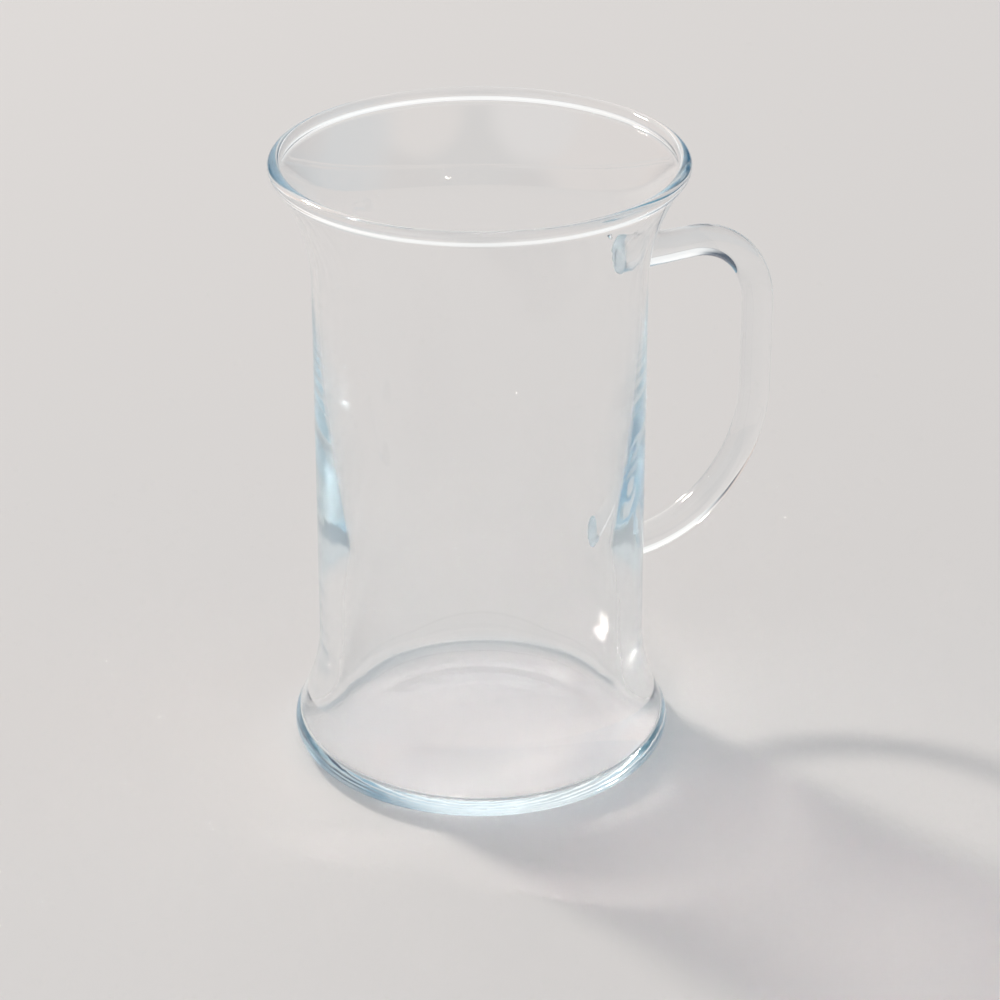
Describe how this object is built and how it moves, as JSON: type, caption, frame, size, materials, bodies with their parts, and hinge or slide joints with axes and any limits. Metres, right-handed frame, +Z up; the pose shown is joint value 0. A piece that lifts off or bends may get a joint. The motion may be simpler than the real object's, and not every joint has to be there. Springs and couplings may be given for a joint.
{
  "type": "glass mug",
  "caption": "Tall clear glass mug for hot coffee drinks, with a flared lip, straight waist, heavy flared foot and a bent glass rod handle fused to the wall.",
  "frame": {"origin": "on the body's axis, in the plane that the foot rests on", "axes": "+Z up along the body's axis, +X from the axis towards the handle's grip"},
  "size_m": [0.1071, 0.08, 0.124],
  "materials": {
    "clear_glass": "clear, fire polished, with a faint cyan tint where the glass is thick"
  },
  "bodies": {
    "root": {"glass_body": "clear_glass", "handle_rod": "clear_glass", "upper_seal": "clear_glass", "lower_seal": "clear_glass"}
  },
  "joints": []
}
